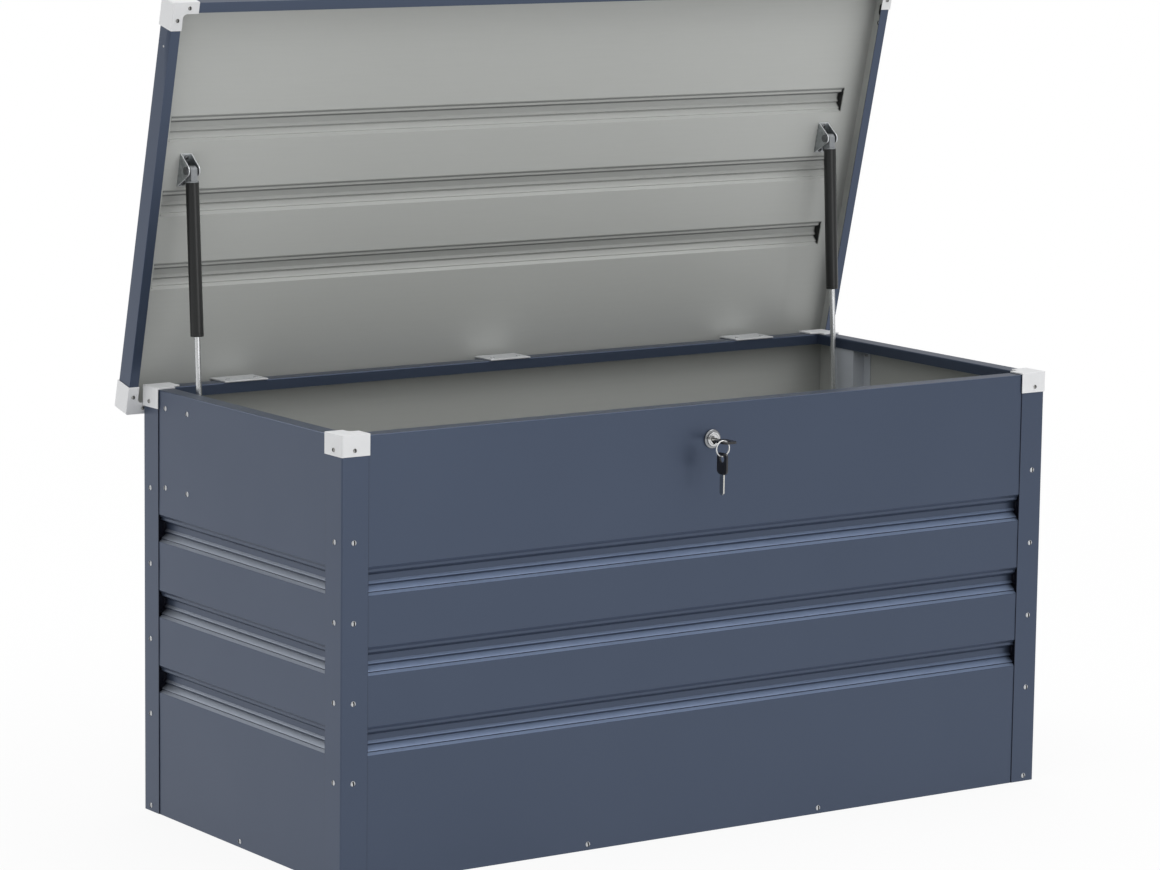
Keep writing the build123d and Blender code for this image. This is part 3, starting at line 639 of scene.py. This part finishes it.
def modified(data, tree, values):
    # a mesh made by a geometry tree with its named inputs
    holder = bpy.data.objects.new("holder", data)
    scene.collection.objects.link(holder)
    rule = holder.modifiers.new("rule", "NODES")
    rule.node_group = tree
    for item in tree.interface.items_tree:
        if item.in_out == "INPUT" and item.name in values:
            rule[item.identifier] = values[item.name]
    made = bpy.data.meshes.new_from_object(holder.evaluated_get(bpy.context.evaluated_depsgraph_get()))
    bpy.data.objects.remove(holder)
    return made


# Screws and rivets: one tree sets a detailed screw on each seat
screwSettings = {
    "panHead": {"Head Radius": 3.6 * mm, "Head Height": 2.0 * mm, "Recess Width": 2.3 * mm,
                "Recess Reach": 3.7 * mm, "Cross Reach": 1.0 * mm, "Recess Depth": 1.3 * mm,
                "Shank Radius": 1.6 * mm, "Shank Length": 8.0 * mm, "Thread Pitch": 1.2 * mm,
                "Round Recess": False},
}
screwSettings["shortPan"] = dict(screwSettings["panHead"], **{
    "Shank Length": 1.9 * mm, "Thread Pitch": 0.7 * mm})
screwSettings["capPan"] = dict(screwSettings["panHead"], **{
    "Head Radius": 2.8 * mm, "Recess Width": 1.7 * mm, "Recess Reach": 2.9 * mm, "Cross Reach": 0.7 * mm})
screwSettings["flatHead"] = dict(screwSettings["panHead"], **{
    "Head Height": 1.0 * mm, "Recess Depth": 0.6 * mm})
screwSettings["rivet"] = dict(screwSettings["shortPan"], **{
    "Round Recess": True, "Recess Width": 1.1 * mm})
screwDetail = {"headSegments": 20, "headRings": 10, "drillSides": 16, "shankSides": 10, "turnSteps": 8,
               "core": 0.85, "ridge": 0.15, "threadEnd": 0.8, "spin": 0.25, "seed": 7, "crease": 40.0,
               "rimShare": 0.97}
screwKinds = {
    "post_screws": ("panHead", "zincScrew"), "cap_screws": ("capPan", "dullScrew"),
    "floor_screws": ("panHead", "zincScrew"), "channel_screws": ("panHead", "zincScrew"),
    "hinge_rim_screws": ("flatHead", "zincScrew"), "lid_cap_screws": ("capPan", "dullScrew"),
    "brace_screws": ("shortPan", "zincScrew"), "hinge_lid_screws": ("panHead", "zincScrew"),
    "bracket_rivets": ("rivet", "rivetSteel"),
}


def screwTree():
    floats = [name for name in screwSettings["panHead"] if name != "Round Recess"]
    others = {"Round Recess": "Bool", "Material": "Material", "Recess Material": "Material"}
    tree = newTree("screwRow", "Seats", floats, others, "Screws")
    g = Board(tree)
    given = g.node("NodeGroupInput", {}, {})
    radius, height, length = given["Head Radius"], given["Head Height"], given["Shank Length"]
    width, reach, depth = given["Recess Width"], given["Recess Reach"], given["Recess Depth"]
    pitch, core = given["Thread Pitch"], given["Shank Radius"] * screwDetail["core"]

    def moved(geometry, translation, scale):
        sockets = {"Geometry": geometry, "Translation": translation, "Scale": scale}
        return g.node("GeometryNodeTransform", {}, sockets)[0]

    # domed head with its slot or hole
    whole = g.vector(1.0, 1.0, 1.0)
    top = g.vector(0.0, 0.0, height)
    ball = g.node("GeometryNodeMeshUVSphere", {}, {
        "Segments": screwDetail["headSegments"], "Rings": screwDetail["headRings"], "Radius": 1.0})[0]
    cube = g.node("GeometryNodeMeshCube", {}, {})[0]
    drill = g.node("GeometryNodeMeshCylinder", {}, {
        "Vertices": screwDetail["drillSides"], "Radius": width, "Depth": depth * 2.0})[0]
    dome = moved(ball, g.vector(0.0, 0.0, 0.0), g.vector(radius, radius, height))
    below = moved(cube, g.vector(0.0, 0.0, -height), g.vector(radius * 4.0, radius * 4.0, height * 2.0))
    crossSlot = moved(cube, top, g.vector(given["Cross Reach"] * 2.0, width, depth * 2.0))
    longSlot = moved(cube, top, g.vector(width, reach * 2.0, depth * 2.0))
    slots = g.node("GeometryNodeJoinGeometry", {}, {0: [crossSlot, longSlot]})[0]
    recess = g.node("GeometryNodeSwitch", {"input_type": "GEOMETRY"}, {
        "Switch": given["Round Recess"], "False": slots, "True": moved(drill, top, whole)})[0]
    recess = g.node("GeometryNodeStoreNamedAttribute", {"data_type": "BOOLEAN", "domain": "FACE"},
                    {"Geometry": recess, "Name": "recess", "Value": True})[0]
    head = g.node("GeometryNodeMeshBoolean", {"operation": "DIFFERENCE", "solver": "EXACT"},
                  {"Mesh 1": dome, "Mesh 2": [below, recess], "Self Intersection": True})[0]

    # shank with its thread
    shank = g.node("GeometryNodeMeshCylinder", {}, {
        "Vertices": screwDetail["shankSides"], "Radius": core, "Depth": length})[0]
    shank = moved(shank, g.vector(0.0, 0.0, length * -0.5), whole)
    coil = g.node("GeometryNodeCurveSpiral", {}, {
        "Resolution": screwDetail["turnSteps"], "Rotations": length / pitch - 1.0, "Start Radius": core,
        "End Radius": core, "Height": length - pitch})[0]
    ridge = g.node("GeometryNodeCurvePrimitiveCircle", {}, {
        "Resolution": 3, "Radius": given["Shank Radius"] * screwDetail["ridge"]})[0]
    thread = g.node("GeometryNodeCurveToMesh", {}, {
        "Curve": coil, "Profile Curve": ridge, "Fill Caps": True})[0]
    thread = moved(thread, g.vector(0.0, 0.0, pitch * screwDetail["threadEnd"] - length), whole)
    screw = g.node("GeometryNodeJoinGeometry", {}, {0: [head, shank, thread]})[0]

    # a screw on each seat, slot upright and a little turned
    facing = g.node("GeometryNodeInputNamedAttribute", {"data_type": "FLOAT_VECTOR"}, {"Name": "facing"})[0]
    outward = g.node("FunctionNodeAlignRotationToVector", {"axis": "Z"}, {"Vector": facing})[0]
    upright = g.node("FunctionNodeAlignRotationToVector", {"axis": "Y", "pivot_axis": "Z"},
                     {"Rotation": outward, "Vector": (0, 0, 1)})[0]
    spin = g.node("FunctionNodeRandomValue", {"data_type": "FLOAT"},
                  {2: 0.0, 3: screwDetail["spin"], "Seed": screwDetail["seed"]})[1]
    turned = g.node("FunctionNodeAxisAngleToRotation", {}, {"Axis": (0, 0, 1), "Angle": spin})[0]
    aim = g.node("FunctionNodeRotateRotation", {"rotation_space": "LOCAL"},
                 {"Rotation": upright, "Rotate By": turned})[0]
    rows = g.node("GeometryNodeInstanceOnPoints", {}, {
        "Points": given["Seats"], "Instance": screw, "Rotation": aim})[0]
    real = g.node("GeometryNodeRealizeInstances", {}, {"Geometry": rows})[0]
    plated = g.node("GeometryNodeSetMaterial", {}, {"Geometry": real, "Material": given["Material"]})[0]
    # the recesses get a dark finish: painted shade
    inside = g.node("GeometryNodeInputNamedAttribute", {"data_type": "BOOLEAN"}, {"Name": "recess"})[0]
    finished = g.node("GeometryNodeSetMaterial", {}, {
        "Geometry": plated, "Selection": inside, "Material": given["Recess Material"]})[0]
    g.node("NodeGroupOutput", {}, {0: finished})
    return tree


def solidPlaces(mesh):
    # the corners of each loose solid in a mesh
    done = set()
    for first in mesh.verts:
        if first in done:
            continue
        solid, waiting = set(), {first}
        while waiting:
            vertex = waiting.pop()
            solid.add(vertex)
            waiting |= {edge.other_vert(vertex) for edge in vertex.link_edges} - solid
        done |= solid
        yield [vertex.co.copy() for vertex in solid]


def screwSeats(node):
    # seat and outward direction of each screw, read from its solid
    mesh = mergedMesh(node)
    seats = []
    for places in solidPlaces(mesh):
        low = [min(p[k] for p in places) for k in range(3)]
        high = [max(p[k] for p in places) for k in range(3)]
        size = [b - a for a, b in zip(low, high)]
        centre = Vector([(a + b) / 2 for a, b in zip(low, high)])
        axis = max(range(3), key=lambda k: abs(size[k] - (sum(size) - size[k]) / 2))
        across = [k for k in range(3) if k != axis]
        radius = max(size[k] for k in across) / 2
        rimStart = screwDetail["rimShare"] * radius
        rim = [p[axis] for p in places if math.hypot(*(p[k] - centre[k] for k in across)) > rimStart]
        outward = 1.0 if sum(rim) / len(rim) > centre[axis] else -1.0
        seat, facing = centre.copy(), Vector((0, 0, 0))
        seat[axis] = min(rim) if outward > 0 else max(rim)
        facing[axis] = outward
        if bodyOf[node] == "lid":
            seat, facing = toOpen @ seat, toOpen.to_3x3() @ facing
        seats.append((seat, facing))
    mesh.free()
    return seats


screws = screwTree()
for node, (kind, material) in screwKinds.items():
    seats = screwSeats(node)
    data = bpy.data.meshes.new(node + "Seats")
    data.from_pydata([seat for seat, facing in seats], [], [])
    facings = data.attributes.new("facing", "FLOAT_VECTOR", "POINT")
    for index, (seat, facing) in enumerate(seats):
        facings.data[index].vector = facing
    made = modified(data, screws, dict(screwSettings[kind], **{
        "Material": finishes[material], "Recess Material": finishes["recessDark"]}))
    placePiece(camel(node), made, [material], node, "screw_steel", screwDetail["crease"])
    print("  ", node, len(seats), "seats")
print("stage 5: screws")


# Key ring: two turns of wire
ringSettings = {"Wire": 0.9 * mm, "Turns": 2.1, "Rise": 0.6 * mm}
ringDetail = {"turnSteps": 40, "wireSides": 10, "crease": 60.0}


def ringTree():
    others = {"Centre": "Vector", "Material": "Material"}
    tree = newTree("splitRing", "Seed", ("Radius", *ringSettings), others, "Ring")
    g = Board(tree)
    given = g.node("NodeGroupInput", {}, {})
    rise = given["Rise"] * given["Turns"]
    coil = g.node("GeometryNodeCurveSpiral", {}, {
        "Resolution": ringDetail["turnSteps"], "Rotations": given["Turns"], "Start Radius": given["Radius"],
        "End Radius": given["Radius"], "Height": rise})[0]
    wire = g.node("GeometryNodeCurvePrimitiveCircle", {}, {
        "Resolution": ringDetail["wireSides"], "Radius": given["Wire"]})[0]
    ring = g.node("GeometryNodeCurveToMesh", {}, {"Curve": coil, "Profile Curve": wire, "Fill Caps": True})[0]
    ring = g.node("GeometryNodeTransform", {}, {
        "Geometry": ring, "Translation": g.vector(0.0, 0.0, rise * -0.5)})[0]
    ring = g.node("GeometryNodeTransform", {}, {
        "Geometry": ring, "Translation": given["Centre"], "Rotation": (math.pi / 2, 0, 0)})[0]
    real = g.node("GeometryNodeRealizeInstances", {}, {"Geometry": ring})[0]
    plated = g.node("GeometryNodeSetMaterial", {}, {"Geometry": real, "Material": given["Material"]})[0]
    g.node("NodeGroupOutput", {}, {0: plated})
    return tree


ringLow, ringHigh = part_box("key_ring")
ringRadius = (ringHigh.x - ringLow.x) / 2 - (ringHigh.y - ringLow.y) / 2
made = modified(bpy.data.meshes.new("ringSeed"), ringTree(), dict(
    ringSettings, Radius=ringRadius, Centre=(ringLow + ringHigh) / 2, Material=finishes["ringSteel"]))
placePiece("keyRing", made, ["ringSteel"], "key_ring", "key_steel", ringDetail["crease"])
print("stage 6: key ring")


# Floor: pale paper that is white far away, and in mirrors
floorSettings = {"size": 40.0, "drop": 0.4 * mm, "colour": rgb(242, 242, 242), "white": 0.88,
                 "near": 1.0, "far": 4.0}


def floorPaper():
    f = Finish("floorPaper")
    path = f.node("ShaderNodeLightPath", {}, {})
    away = f.node("ShaderNodeVectorMath", {"operation": "LENGTH"}, {0: f.spot})["Value"]
    white = floorSettings["white"]
    seen = white + (1.0 - white) * f.ramp(away, floorSettings["near"], floorSettings["far"])
    mirrored = (path["Is Glossy Ray"] + path["Is Transmission Ray"]).smaller(1.0)
    share = path["Is Camera Ray"] * seen + mirrored * white
    paper = f.node("ShaderNodeBsdfDiffuse", {}, {"Color": floorSettings["colour"]})[0]
    glow = f.node("ShaderNodeEmission", {}, {"Color": (1, 1, 1, 1), "Strength": 1.0})[0]
    mixed = f.node("ShaderNodeMixShader", {}, {0: share, 1: paper, 2: glow})[0]
    f.node("ShaderNodeOutputMaterial", {}, {"Surface": mixed})
    return f.material


half = floorSettings["size"] / 2
corners = [(-half, -half, 0), (half, -half, 0), (half, half, 0), (-half, half, 0)]
floorData = bpy.data.meshes.new("floor")
floorData.from_pydata(corners, [], [(0, 1, 2, 3)])
floorData.materials.append(floorPaper())
floor = bpy.data.objects.new("floor", floorData)
floor.location.z = -floorSettings["drop"]
scene.collection.objects.link(floor)

# Light: a sky that brightens upwards, white to the camera, and three soft lamps
skySettings = {"horizon": 0.33, "zenith": 1.12}
lampSettings = {
    "topLight": {"place": (1.3, -1.3, 3.5), "size": 2.0, "power": 30.0},
    "backLight": {"place": (-1.7, 2.7, 2.3), "size": 2.0, "power": 24.0},
    "frontLight": {"place": (0.5, -4.5, 0.7), "size": 2.2, "power": 26.0},
}
lampTarget = Vector((0, 0, 0.5))


def studioSky():
    sky = bpy.data.worlds.new("studio")
    sky.use_nodes = True
    sky.node_tree.nodes.clear()
    g = Board(sky.node_tree)
    direction = g.node("ShaderNodeTexCoord", {}, {})["Generated"]
    height = g.node("ShaderNodeSeparateXYZ", {}, {0: direction})[2]
    seen = g.node("ShaderNodeLightPath", {}, {})["Is Camera Ray"]
    span = skySettings["zenith"] - skySettings["horizon"]
    level = skySettings["horizon"] + g.ramp(height, 0.0, 1.0) * span
    level = level * (1.0 - seen) + seen
    glow = g.node("ShaderNodeBackground", {}, {"Color": (1, 1, 1, 1), "Strength": level})[0]
    g.node("ShaderNodeOutputWorld", {}, {"Surface": glow})
    return sky


def hangLamp(name, lamp):
    light = bpy.data.lights.new(name, "AREA")
    light.shape, light.size, light.energy = "SQUARE", lamp["size"], lamp["power"]
    holder = bpy.data.objects.new(name, light)
    holder.location = lamp["place"]
    aim = lampTarget - Vector(lamp["place"])
    holder.rotation_euler = aim.to_track_quat("-Z", "Y").to_euler()
    scene.collection.objects.link(holder)


scene.world = studioSky()
for name, lamp in lampSettings.items():
    hangLamp(name, lamp)

# Camera: place in metres, turns in degrees, lens and sensor in mm
cameraSettings = {"place": (-3.4488, -4.9195, 1.4541), "heading": 34.743, "dip": 8.957, "roll": 0.733,
                  "lens": 136.72, "sensor": 36.0, "farthest": 100.0}
heading, dip, roll = (math.radians(cameraSettings[key]) for key in ("heading", "dip", "roll"))
lens = bpy.data.cameras.new("photoCamera")
lens.lens, lens.sensor_width = cameraSettings["lens"], cameraSettings["sensor"]
lens.clip_end = cameraSettings["farthest"]
viewer = bpy.data.objects.new("photoCamera", lens)
viewer.matrix_world = (Matrix.Translation(cameraSettings["place"]) @ Matrix.Rotation(-heading, 4, "Z")
                       @ Matrix.Rotation(math.pi / 2 - dip, 4, "X") @ Matrix.Rotation(roll, 4, "Z"))
scene.collection.objects.link(viewer)
scene.camera = viewer
scene.view_settings.view_transform = "Standard"
print("stage 7: floor, light and camera")
